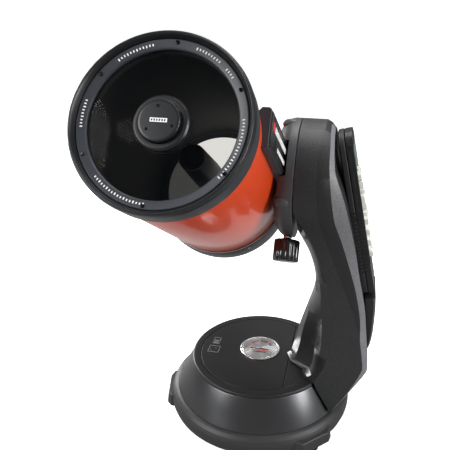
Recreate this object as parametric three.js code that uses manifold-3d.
// Compact catadioptric telescope on a one-arm motorised alt-azimuth mount. Millimetres, +Z up.
// The origin is on the azimuth axis at the underside of the base. The arm stands on +X.
import * as THREE from 'three';
import { mergeVertices } from 'three/addons/utils/BufferGeometryUtils.js';
import Module from 'manifold-3d';

const wasm = await Module();
wasm.setup();

// ---- driving dimensions ----
const GAP = 0.3;                 // clearance between touching pieces
const ALTITUDE_DEG = 31.7;       // tilt of the tube above the horizon
const ALTITUDE_AXIS_Y = 6.6;
const ALTITUDE_AXIS_Z = 355.6;
const OPTICS_DROP = 12.5;        // optical axis below the altitude axis, across the tube
const TUBE_X = -70;              // optical axis, beside the azimuth axis
const TUBE_R = 91;
const APERTURE_R = 76;
const LIP_S = 229.4;             // front of the front cell, measured along the optical axis
const RING_S = 223;
const FRONT_CELL_REAR_S = 198.5;
const REAR_CELL_FRONT_S = -42;
const REAR_FACE_S = -99;
const MIRROR_BACK_S = -56;
const FOCUS_OFFSET = 48;         // focus shaft, off the optical axis
const SEAM_Z = 34;               // gap between the fixed base and the turntable
const SEAM_R = 125;
const DECK_Z = 76;
const RIM_R = 103.3;
const COVER_R = 90.3;
const COVER_TOP_Z = 80.6;
const COVER_SPLIT_X = 44;
const SPINDLE_R = 14;
const HEAD_R = 79;               // round head of the arm and the drum that turns on it
const SHAFT_R = 12;
const DRUM_X = [18, 46];
const RAIL_X = [14, 34];
const RAIL_FRONT_X = 28;
const RAIL_S = [-58, 176];       // ends of the rail, measured along the optical axis
const RAIL_TAPER_S = 30;
const RAIL_Y = 5;
const RAIL_HALF_WIDTH = 22;
const CLAMP_X = 38;
const CLAMP_KNOB_R = 17;
const CLAMP_KNOB_Y = [-112, -83.4];
const HANDSET_TILT_DEG = 13;
const HANDSET_CENTRE = [124.6, 0, 320.5];
const HANDSET_HALF = [9, 31, 108];
const KEY_PITCH = 15;
const KEY_TOP_ROW_Z = 49;
const FOOT_ANGLES_DEG = [-47, 73, 193];
const FOOT_R = 134;
const SEGMENTS = 44;

// ---- solids ----
function isDegenerate(a, b, c) {
  return a === b || b === c || a === c;
}

function signedVolume(positions, triangles) {
  const corner = [new THREE.Vector3(), new THREE.Vector3(), new THREE.Vector3()];
  let sum = 0;
  for (let i = 0; i < triangles.length; i += 3) {
    corner.forEach((v, k) => v.fromArray(positions, 3 * triangles[i + k]));
    sum += corner[0].dot(corner[1].cross(corner[2]));
  }
  return sum;
}

function solid(geometry) {
  geometry.deleteAttribute('normal');
  geometry.deleteAttribute('uv');
  const merged = mergeVertices(geometry, 1e-4);
  const positions = merged.attributes.position.array;
  const triangles = [];
  for (let i = 0; i < merged.index.count; i += 3) {
    const [a, b, c] = [0, 1, 2].map((k) => merged.index.getX(i + k));
    if (!isDegenerate(a, b, c)) triangles.push(a, b, c);
  }
  if (signedVolume(positions, triangles) < 0) triangles.reverse();
  return new wasm.Manifold(new wasm.Mesh({
    numProp: 3,
    vertProperties: new Float32Array(positions),
    triVerts: new Uint32Array(triangles),
  }));
}

function geometryOf(shape) {
  const { vertProperties, triVerts } = shape.getMesh();
  const geometry = new THREE.BufferGeometry();
  geometry.setAttribute('position', new THREE.BufferAttribute(vertProperties, 3));
  geometry.setIndex(new THREE.BufferAttribute(triVerts, 1));
  return geometry;
}

// A closed [radius, height] outline turned about Z.
function turned(profile, segments = SEGMENTS) {
  const points = profile.map(([r, z]) => new THREE.Vector2(r, z));
  const onAxis = profile[0][0] === 0 && profile[profile.length - 1][0] === 0;
  if (!onAxis) points.push(points[0].clone());
  return solid(new THREE.LatheGeometry(points, segments).rotateX(Math.PI / 2));
}

function disc(radius, z0, z1, segments = SEGMENTS) {
  return turned([[0, z0], [radius, z0], [radius, z1], [0, z1]], segments);
}

function ring(inner, outer, z0, z1, segments = SEGMENTS) {
  return turned([[inner, z0], [outer, z0], [outer, z1], [inner, z1]], segments);
}

function rodAlongX(radius, x0, x1, segments = 40) {
  const length = x1 - x0;
  const rod = new THREE.CylinderGeometry(radius, radius, length, segments);
  return solid(rod.rotateZ(Math.PI / 2).translate(x0 + length / 2, 0, 0));
}

function rodAlongY(radius, y0, y1, segments = 32) {
  const length = y1 - y0;
  const rod = new THREE.CylinderGeometry(radius, radius, length, segments);
  return solid(rod.translate(0, y0 + length / 2, 0));
}

function box([x0, y0, z0], [x1, y1, z1]) {
  const shape = new THREE.BoxGeometry(x1 - x0, y1 - y0, z1 - z0);
  return solid(shape.translate((x0 + x1) / 2, (y0 + y1) / 2, (z0 + z1) / 2));
}

// An outline of [x, z] points, made into a plate that is centred on y = 0.
function plateXZ(outline, halfWidth) {
  const shape = new THREE.Shape(outline.map(([x, z]) => new THREE.Vector2(x, z)));
  const plate = new THREE.ExtrudeGeometry(shape, { depth: 2 * halfWidth, bevelEnabled: false });
  return solid(plate.rotateX(Math.PI / 2).translate(0, halfWidth, 0));
}

// An upright plate across the arm: [y, z] outline, from x0 to x1.
function plateYZ(shape, x0, x1) {
  const settings = { depth: x1 - x0, bevelEnabled: false, curveSegments: 16 };
  const plate = new THREE.ExtrudeGeometry(shape, settings);
  plate.rotateX(Math.PI / 2).rotateZ(Math.PI / 2);
  return solid(plate.translate(x0, 0, 0));
}

// ---- materials ----
function paint(color, roughness, metalness = 0) {
  return new THREE.MeshStandardMaterial({ color, roughness, metalness });
}

const ORANGE = paint(0xc23a12, 0.25, 0.2);
const CELL_GREY = paint(0x34383c, 0.5, 0.3);
const BLACK = paint(0x101112, 0.4);
const GLOSS_BLACK = paint(0x08090a, 0.15);
const ARM_GREY = paint(0x3c3d3f, 0.55, 0.2);
const LIGHT_GREY = paint(0x6c6d71, 0.5, 0.2);
const SKIRT_GREY = paint(0x54565a, 0.35, 0.6);
const RUBBER = paint(0x1a1a1b, 0.9);
const STEEL = paint(0xb9bbbd, 0.3, 1);
const BRASS = paint(0xb08a4a, 0.4, 1);
const GLASS = paint(0xcfe0e6, 0.05);
const MIRROR = paint(0xe6ebee, 0.02, 1);
const KEY_WHITE = paint(0xe9e9e4, 0.5);
const LCD_GREEN = paint(0x3f5a45, 0.2);

const scope = new THREE.Group();

function addPiece(parent, name, shape, material) {
  const mesh = new THREE.Mesh(geometryOf(shape), material);
  mesh.name = name;
  parent.add(mesh);
  return mesh;
}

// ---- optical tube: local Z runs up the optical axis, local Y points up and back ----
const tilt = new THREE.Group();
tilt.position.set(0, ALTITUDE_AXIS_Y, ALTITUDE_AXIS_Z);
tilt.rotation.x = THREE.MathUtils.degToRad(90 - ALTITUDE_DEG);
scope.add(tilt);

const optics = new THREE.Group();
optics.position.set(TUBE_X, -OPTICS_DROP, 0);
tilt.add(optics);

function addTube() {
  addPiece(optics, 'optical_tube', ring(TUBE_R - 1.4, TUBE_R, -50, 204, 56), ORANGE);

  addPiece(optics, 'front_cell', turned([
    [TUBE_R + GAP, FRONT_CELL_REAR_S], [92.8, FRONT_CELL_REAR_S], [93.2, 212], [92.9, 224],
    [91.6, 228.4], [90.2, LIP_S], [88.6, 228.6], [86.2, RING_S], [86.2, 217.4], [79.9, 217.4],
    [79.9, 212.8], [APERTURE_R, 212.8], [APERTURE_R, 207], [88, 205], [TUBE_R + GAP, 205],
  ], 52), CELL_GREY);

  addPiece(optics, 'corrector_retaining_ring', turned([
    [APERTURE_R, 217.7], [APERTURE_R, 220.4], [78.4, 221.4], [85.8, RING_S], [85.8, 217.7],
  ], 52), CELL_GREY);

  addPiece(optics, 'corrector_plate', ring(24, 79.6, 213.1, 217.3), GLASS);
}

function addSecondary() {
  addPiece(optics, 'secondary_holder', turned([
    [21.7, 198], [23.7, 198], [23.7, 217.6], [28.6, 217.6], [28.6, 221.6], [27, 223.4], [21.7, 223.4],
  ], 32), BLACK);
  addPiece(optics, 'secondary_nut', ring(24, 28.6, 207, 212.8, 32), BLACK);
  addPiece(optics, 'secondary_mirror', disc(21, 201, 209, 32), MIRROR);
  addPiece(optics, 'secondary_cap', turned([
    [0, 212], [21.2, 212], [21.2, 227.6], [20.2, 228.7], [0, 228.7],
  ], 32), BLACK);
}

function addRearEnd() {
  const shell = turned([
    [TUBE_R + GAP, REAR_CELL_FRONT_S], [92.6, REAR_CELL_FRONT_S], [94.8, -56], [95.6, -70], [95, -82],
    [90, -92], [80, -97], [30, REAR_FACE_S], [30, -91], [84, -89], [89, -83], [89, -50.5],
    [TUBE_R + GAP, -50.5],
  ], 52);
  const shaftHole = disc(4.2, REAR_FACE_S - 5, -80, 24).translate([FOCUS_OFFSET, 0, 0]);
  addPiece(optics, 'rear_cell', shell.subtract(shaftHole), BLACK);

  addPiece(optics, 'baffle_tube', turned([
    [17, -101], [29.7, -101], [29.7, -92], [19, -92], [19, 40], [16.4, 110], [15, 110], [17, 40],
  ], 28), BLACK);

  addPiece(optics, 'primary_mirror', turned([
    [26, MIRROR_BACK_S], [77, MIRROR_BACK_S], [77, -44], [26, -47],
  ], 40), MIRROR);

  const carrier = turned([
    [19.3, -66], [60, -66], [60, -60], [25.7, MIRROR_BACK_S - 4], [25.7, -42], [19.3, -42],
  ], 36);
  const boss = disc(9, -74, -62, 24).translate([FOCUS_OFFSET, 0, 0]);
  const threadHole = disc(3.8, -80, -58, 24).translate([FOCUS_OFFSET, 0, 0]);
  addPiece(optics, 'mirror_carrier', carrier.add(boss).subtract(threadHole), BRASS);

  const focusShaft = addPiece(optics, 'focus_shaft', disc(3.4, -104, -62.6, 24), STEEL);
  const focusKnob = addPiece(optics, 'focus_knob', flutedKnob(13, -125, -104.3, 12), BLACK);
  focusShaft.position.x = FOCUS_OFFSET;
  focusKnob.position.x = FOCUS_OFFSET;
}

// A knob about Z with round flutes cut along its side.
function flutedKnob(radius, z0, z1, flutes) {
  const chamfer = 1.2;
  let knob = turned([
    [0, z0], [radius - chamfer, z0], [radius, z0 + chamfer], [radius, z1 - chamfer],
    [radius - chamfer, z1], [0, z1],
  ], 32);
  const fluteR = radius * 0.09;
  for (let i = 0; i < flutes; i += 1) {
    const angle = (2 * Math.PI * i) / flutes;
    const flute = disc(fluteR, z0 - 1, z1 + 1, 6);
    knob = knob.subtract(flute.translate([radius * Math.cos(angle), radius * Math.sin(angle), 0]));
  }
  return knob;
}

function addEyeEnd() {
  addPiece(optics, 'visual_back', turned([
    [16.2, -124], [20, -124], [20, -110], [24, -108], [24, -101.3], [16.2, -101.3],
  ], 28), BLACK);

  const nose = ring(13.5, 15.9, -146, -105, 36);
  const elbow = box([-19, -19, -182], [19, 19, -145]);
  const eyeTube = rodAlongY(18, 15, 44).translate([0, 0, -163]);
  const lightPath = disc(13.5, -160, -100, 36);
  const eyePath = rodAlongY(16.2, -8, 60).translate([0, 0, -163]);
  const diagonal = nose.add(elbow).add(eyeTube).subtract(lightPath).subtract(eyePath);
  addPiece(optics, 'star_diagonal', diagonal, BLACK);

  const barrel = rodAlongY(15.9, 20, 46);
  const body = rodAlongY(17.5, 45, 78);
  const bore = rodAlongY(11, 10, 100);
  const eyepiece = addPiece(optics, 'eyepiece', barrel.add(body).subtract(bore), BLACK);
  eyepiece.position.z = -163;
}

// The outer face of the rail tapers towards the front, where it carries the nameplate.
function railFaceX(s) {
  const share = Math.max(0, (s - RAIL_TAPER_S) / (RAIL_S[1] - RAIL_TAPER_S));
  return RAIL_X[1] + (RAIL_FRONT_X - RAIL_X[1]) * share;
}

function addDovetail() {
  const bar = plateXZ([
    [RAIL_X[0], RAIL_S[0]], [RAIL_X[1], RAIL_S[0]], [RAIL_X[1], RAIL_TAPER_S], [RAIL_FRONT_X, RAIL_S[1]],
    [RAIL_X[0], RAIL_S[1]],
  ], RAIL_HALF_WIDTH).translate([0, RAIL_Y, 0]);
  const tubeClearance = disc(TUBE_R + GAP, -80, 198, 60).translate([TUBE_X, -OPTICS_DROP, 0]);
  const cellClearance = disc(96, -110, REAR_CELL_FRONT_S + 2, 60).translate([TUBE_X, -OPTICS_DROP, 0]);
  addPiece(tilt, 'dovetail_bar', bar.subtract(tubeClearance).subtract(cellClearance), CELL_GREY);

  const [plateLow, plateHigh] = [42, 172];
  const plate = plateXZ([
    [railFaceX(plateLow) + GAP, plateLow], [railFaceX(plateLow) + 1.4, plateLow],
    [railFaceX(plateHigh) + 1.4, plateHigh], [railFaceX(plateHigh) + GAP, plateHigh],
  ], RAIL_HALF_WIDTH - 3);
  addPiece(tilt, 'nameplate', plate.translate([0, RAIL_Y, 0]), GLOSS_BLACK);
}

// ---- altitude saddle: turns with the tube ----
function addSaddle() {
  const [railLow, railHigh] = [RAIL_Y - RAIL_HALF_WIDTH - 0.6, RAIL_Y + RAIL_HALF_WIDTH + 0.6];
  const drum = rodAlongX(HEAD_R, DRUM_X[0], DRUM_X[1], 56);
  const railChannel = box([0, railLow, -90], [36, railHigh, 90]);
  const tubeClearance = disc(97, -90, 90, 60).translate([TUBE_X, -OPTICS_DROP, 0]);
  const jawPocket = box([0, railLow - 27, -23], [43.5, railLow + 1, 23]);
  const screwHole = rodAlongY(4.6, -95, railLow - 20, 24).translate([CLAMP_X, 0, 0]);
  const saddle = drum.subtract(railChannel).subtract(tubeClearance).subtract(jawPocket).subtract(screwHole);
  addPiece(tilt, 'saddle', saddle, ARM_GREY);

  const threadHole = rodAlongY(4.3, railLow - 25, railLow - 5, 20).translate([CLAMP_X, 0, 0]);
  const jaw = box([27, railLow - 22, -22], [43, railLow, 22]).subtract(threadHole);
  addPiece(tilt, 'clamp_jaw', jaw, ARM_GREY);
  const screw = addPiece(tilt, 'clamp_screw', rodAlongY(4, -83, -28, 20), STEEL);
  screw.position.x = CLAMP_X;
  const [knobLow, knobHigh] = CLAMP_KNOB_Y;
  const grip = flutedKnob(CLAMP_KNOB_R, -knobHigh, -knobLow, 16);
  const knob = addPiece(tilt, 'clamp_knob', grip, GLOSS_BLACK);
  knob.rotation.x = Math.PI / 2;
  knob.position.x = CLAMP_X;

  addPiece(tilt, 'altitude_shaft', rodAlongX(SHAFT_R, 46 + GAP, 90), STEEL);
  const gear = rodAlongX(42, 70, 78).subtract(rodAlongX(SHAFT_R + GAP, 60, 90));
  addPiece(tilt, 'altitude_gear', gear, BRASS);
}

// ---- arm ----
// Outline points are [x, z], seen from the front.
const ARM_CORE = [
  [46.6, 436], [46.6, 300], [54, 284], [70, 253], [76, 220], [73, 198], [66.5, 173], [58.7, 143],
  [51, 110], [46, 90], [46, 78], [100, 60], [112, 36.5], [131, 63], [149.5, 104],
  [141.3, 153], [134.8, 214], [112.7, 283.4], [94, 348.7], [90, 400], [90, 427], [79, 436],
];
const ARM_COVER = [
  [90.3, 426.8], [93.5, 423], [99, 413], [112, 390], [122, 350], [138, 285], [146, 214], [150.9, 154],
  [157, 129], [149.9, 104.5], [141.7, 153], [135.1, 214.1], [113, 283.5], [94.3, 348.8], [90.3, 400],
];
const ARM_LOWER_PANEL = [
  [146.5, 210.5], [159, 210.5], [160.5, 185], [160.3, 155], [157.6, 130], [151.3, 154.4],
];

// Side outline: a round head on a narrow neck that widens down to the base.
function armEnvelope() {
  const neck = [[-64, 20], [64, 20], [62, 100], [52, 200], [52, 262], [66, 305]];
  const side = new THREE.Shape();
  side.moveTo(...neck[0]);
  neck.slice(1).forEach((point) => side.lineTo(...point));
  const headStart = -0.69;
  side.absarc(ALTITUDE_AXIS_Y, ALTITUDE_AXIS_Z, HEAD_R, headStart, Math.PI - headStart, false);
  side.lineTo(-46, 262);
  side.lineTo(-48, 200);
  side.lineTo(-62, 100);
  return plateYZ(side, 20, 200);
}

function turntableEnvelope() {
  return turned([
    [0, 20], [133, 20], [SEAM_R + 1, SEAM_Z - 1], [RIM_R + 1, DECK_Z], [RIM_R + 1, COVER_TOP_Z + GAP],
    [0, COVER_TOP_Z + GAP],
  ]);
}

function handsetEnvelope() {
  const [hx, hy, hz] = HANDSET_HALF;
  const clearance = 0.5;
  const [cx, cy, cz] = [hx + clearance, hy + clearance, hz + clearance];
  const pocket = box([-cx, -cy, -cz], [60, cy, cz]);
  return pocket.rotate([0, -HANDSET_TILT_DEG, 0]).translate(HANDSET_CENTRE);
}

// The ring that the clamp knob passes through as the tube tilts.
function knobSweep() {
  const outer = rodAlongX(2 - CLAMP_KNOB_Y[0], 30, CLAMP_X + CLAMP_KNOB_R + 1, 48);
  const inner = rodAlongX(-1.4 - CLAMP_KNOB_Y[1], 20, 70, 48);
  return outer.subtract(inner).translate([0, ALTITUDE_AXIS_Y, ALTITUDE_AXIS_Z]);
}

function addArm() {
  const envelope = armEnvelope();
  const axisBore = rodAlongX(SHAFT_R + 4, 30, 80).translate([0, ALTITUDE_AXIS_Y, ALTITUDE_AXIS_Z]);
  const gearPocket = rodAlongX(46, 66, 130, 36).translate([0, ALTITUDE_AXIS_Y, ALTITUDE_AXIS_Z]);
  const motorPocket = box([86, -36, 232], [140, 36, 300]);
  const core = plateXZ(ARM_CORE, 90).intersect(envelope)
    .subtract(turntableEnvelope()).subtract(axisBore).subtract(gearPocket).subtract(motorPocket)
    .subtract(knobSweep());
  addPiece(scope, 'arm_core', core, ARM_GREY);

  const cover = plateXZ(ARM_COVER, 90).intersect(envelope.scale([1, 0.94, 1])).subtract(handsetEnvelope());
  addPiece(scope, 'arm_outer_cover', cover, LIGHT_GREY);
  addPiece(scope, 'arm_lower_panel', plateXZ(ARM_LOWER_PANEL, 40), ARM_GREY);

  const bearing = rodAlongX(SHAFT_R + 3.7, 47, 65).subtract(rodAlongX(SHAFT_R + 0.05, 40, 70));
  addPiece(scope, 'altitude_bearing', bearing, STEEL).position.set(0, ALTITUDE_AXIS_Y, ALTITUDE_AXIS_Z);
  addPiece(scope, 'altitude_gearmotor', box([87, -30, 236], [108, 30, 272]), STEEL);
}

// ---- hand control: local X points outwards, local Z up along the arm ----
const handset = new THREE.Group();
handset.position.set(...HANDSET_CENTRE);
handset.rotation.y = THREE.MathUtils.degToRad(-HANDSET_TILT_DEG);
scope.add(handset);

function addHandset() {
  const [hx, hy, hz] = HANDSET_HALF;
  addPiece(handset, 'handset_back', box([-hx, -hy, -hz], [-GAP, hy, hz]), RUBBER);

  let front = box([0, -hy, -hz], [hx, hy, hz]);
  front = front.subtract(box([4, -24, 58], [20, 24, 90]));
  front = front.subtract(box([4, -25, -66], [20, 25, 57 - 0.5]));
  addPiece(handset, 'handset_front', front, BLACK);
  addPiece(handset, 'display_window', box([4 + GAP, -23.6, 58.4], [hx - 1, 23.6, 89.6]), LCD_GREEN);

  const key = (name, y, z, width, height) => addPiece(handset, name,
    box([5.6, y - width / 2, z - height / 2], [13.4, y + width / 2, z + height / 2]), KEY_WHITE);
  ['key_align', 'key_enter', 'key_undo'].forEach((name, i) => key(name, 16 * (i - 1), KEY_TOP_ROW_Z, 12, 8));
  key('key_up', 0, KEY_TOP_ROW_Z - KEY_PITCH, 13, 10);
  key('key_left', -15, KEY_TOP_ROW_Z - 2 * KEY_PITCH, 13, 10);
  key('key_right', 15, KEY_TOP_ROW_Z - 2 * KEY_PITCH, 13, 10);
  key('key_down', 0, KEY_TOP_ROW_Z - 3 * KEY_PITCH, 13, 10);
  addNumberPad();
}

// Twelve keys moulded on one sheet.
function addNumberPad() {
  const firstZ = KEY_TOP_ROW_Z - 4 * KEY_PITCH;
  let pad = box([5.6, -22, firstZ - 3 * KEY_PITCH - 6], [7.6, 22, firstZ + 6]);
  for (let row = 0; row < 4; row += 1) {
    for (let column = -1; column <= 1; column += 1) {
      const z = firstZ - row * KEY_PITCH;
      pad = pad.add(box([7, 15.5 * column - 5.5, z - 4], [13.4, 15.5 * column + 5.5, z + 4]));
    }
  }
  addPiece(handset, 'number_keypad', pad, KEY_WHITE);
}

// ---- base ----
function atAngle(shape, radius, degrees) {
  return shape.translate([radius, 0, 0]).rotate([0, 0, degrees]);
}

function footLobe(degrees) {
  const corners = [[-20, -36], [3, -31], [8.5, -23], [8.5, 23], [3, 31], [-20, 36]];
  const outline = new THREE.Shape(corners.map(([x, y]) => new THREE.Vector2(x, y)));
  const lobe = new THREE.ExtrudeGeometry(outline, { depth: 20, bevelEnabled: false });
  return atAngle(solid(lobe.translate(0, 0, 6)), FOOT_R, degrees);
}

function addFixedBase() {
  let shell = turned([
    [16, SEAM_Z - GAP], [126, SEAM_Z - GAP], [132, 28], [136, 20], [136, 14], [133, 6], [118, 6],
    [118, 29], [16, 29],
  ]);
  const hollow = disc(118, -5, 29);
  FOOT_ANGLES_DEG.forEach((degrees) => {
    shell = shell.add(footLobe(degrees).subtract(hollow));
  });
  addPiece(scope, 'base_shell', shell, SKIRT_GREY);

  addPiece(scope, 'base_plate', turned([
    [0, 0], [36, 0], [38, 2], [117.6, 2], [117.6, 6], [0, 6],
  ]), STEEL);
  FOOT_ANGLES_DEG.forEach((degrees, i) => {
    addPiece(scope, `foot_${i + 1}`, atAngle(disc(11, 0, 6 - GAP, 24), FOOT_R - 4, degrees), RUBBER);
  });
  addPiece(scope, 'azimuth_spindle', turned([
    [0, 6 + GAP], [40, 6 + GAP], [40, 11], [SPINDLE_R, 12], [SPINDLE_R, 57], [0, 57],
  ], 40), STEEL);
  addPiece(scope, 'azimuth_gear', ring(SPINDLE_R + GAP, 55, 42, 50, 40), BRASS);
}

function addTurntable() {
  addPiece(scope, 'turntable', turned([
    [SEAM_R, SEAM_Z + GAP], [RIM_R, DECK_Z], [86, DECK_Z], [86, 61.5], [SPINDLE_R + 0.05, 61.5],
    [SPINDLE_R + 0.05, 53], [20, 53], [20, 58], [89, 58], [89, 72.5], [101.2, 72.5],
    [121.3, SEAM_Z + GAP],
  ], 52), SKIRT_GREY);
  addPiece(scope, 'rim_ring', turned([
    [COVER_R + GAP, DECK_Z + GAP], [RIM_R, DECK_Z + GAP], [RIM_R - 0.4, 79.4], [RIM_R - 2, COVER_TOP_Z],
    [COVER_R + GAP, COVER_TOP_Z],
  ], 52), GLOSS_BLACK);

  const splitHalf = COVER_R + 5;
  const lid = disc(COVER_R, DECK_Z + GAP, COVER_TOP_Z, 60);
  const armSide = box([COVER_SPLIT_X, -splitHalf, 60], [splitHalf, splitHalf, 100]);
  const openSide = box([-splitHalf, -splitHalf, 60], [COVER_SPLIT_X + 2 * GAP, splitHalf, 100]);
  const switchHole = box([-77, 5, 60], [-67, 21, 100]);
  const jackHole = disc(6.2, 60, 100, 24).translate([-71.5, -9, 0]);
  addPiece(scope, 'battery_cover', lid.subtract(armSide).subtract(switchHole).subtract(jackHole), BLACK);
  addPiece(scope, 'side_panel', lid.subtract(openSide), BLACK);

  addPiece(scope, 'cover_badge', disc(30, COVER_TOP_Z + GAP, 82.4, 48).translate([-2.4, 6.3, 0]), STEEL);
  addPiece(scope, 'battery_holder', box([-58, -34, 61.8], [40, 34, 75.5]), BLACK);
  addPiece(scope, 'power_switch', box([-76, 6, 61.8], [-68, 15, 80]), BLACK);
  const jack = disc(5.6, 61.8, 79.8, 24).subtract(disc(3.2, 66, 90, 16)).add(disc(1, 64, 78, 10));
  addPiece(scope, 'power_jack', jack.translate([-71.5, -9, 0]), BLACK);
}

addTube();
addSecondary();
addRearEnd();
addEyeEnd();
addDovetail();
addSaddle();
addArm();
addHandset();
addFixedBase();
addTurntable();

export default scope;
